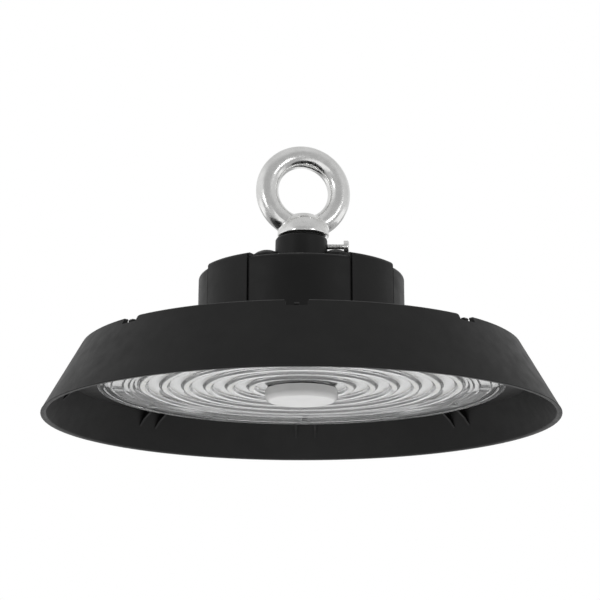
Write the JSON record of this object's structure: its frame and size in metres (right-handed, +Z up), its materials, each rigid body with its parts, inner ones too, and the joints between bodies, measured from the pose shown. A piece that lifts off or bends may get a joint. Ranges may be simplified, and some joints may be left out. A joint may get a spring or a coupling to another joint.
{
  "type": "high bay light",
  "caption": "Round black high bay light with a conical shade, ring-ribbed clear lens, driver housing and a hanging eye bolt with a locking screw.",
  "frame": {"origin": "middle of the plane of the shade's rim, the lowest face", "axes": "+Z up through the neck to the eye bolt, -Y the side seen in the picture, +X the side that the locking screw points to"},
  "size_m": [0.2496, 0.2496, 0.1377],
  "materials": {
    "black_moulding": "black moulding with a fine satin grain",
    "black_casting": "cast aluminium, black powder coat, fine grain",
    "clear_lens": "clear polished moulding",
    "milky_cap": "milky translucent moulding, smooth",
    "seal_rubber": "black silicone, matt",
    "pad_silicone": "grey filled silicone sheet",
    "white_board": "aluminium board with white solder mask",
    "chip_phosphor": "white package with a yellow phosphor face",
    "screw_steel": "zinc-plated steel, lightly worn",
    "zinc_steel": "forged steel, bright zinc plate",
    "clear_film": "thin insulating film",
    "green_board": "glass-fibre board with green mask",
    "ferrite": "dark grey ferrite",
    "copper_winding": "varnished copper wire",
    "capacitor_can": "sleeved can",
    "amber_box": "moulded box",
    "green_terminal": "moulded terminal block",
    "gland_nylon": "black nylon, satin"
  },
  "bodies": {
    "root": {"shade": "black_moulding", "lens": "clear_lens", "lens_gasket": "seal_rubber", "lens_screws": "screw_steel", "centre_cap": "milky_cap", "centre_cap_seal": "seal_rubber", "heat_sink": "black_casting", "thermal_pad": "pad_silicone", "led_board": "white_board", "led_chips": "chip_phosphor", "board_screws": "screw_steel", "wire_grommet": "seal_rubber", "driver_housing": "black_casting", "housing_gasket": "seal_rubber", "housing_screws": "screw_steel", "insulating_sheet": "clear_film", "driver_board": "green_board", "driver_board_screws": "screw_steel", "transformer_core": "ferrite", "transformer_winding": "copper_winding", "bulk_capacitors": "capacitor_can", "line_choke": "copper_winding", "film_capacitor": "amber_box", "mains_terminal": "green_terminal", "eye_bolt": "zinc_steel", "eye_washer": "seal_rubber", "locking_screw": "screw_steel", "gland_ring": "seal_rubber", "gland_body": "gland_nylon", "gland_seal": "seal_rubber", "gland_cap": "gland_nylon", "gland_nut": "gland_nylon"}
  },
  "joints": []
}
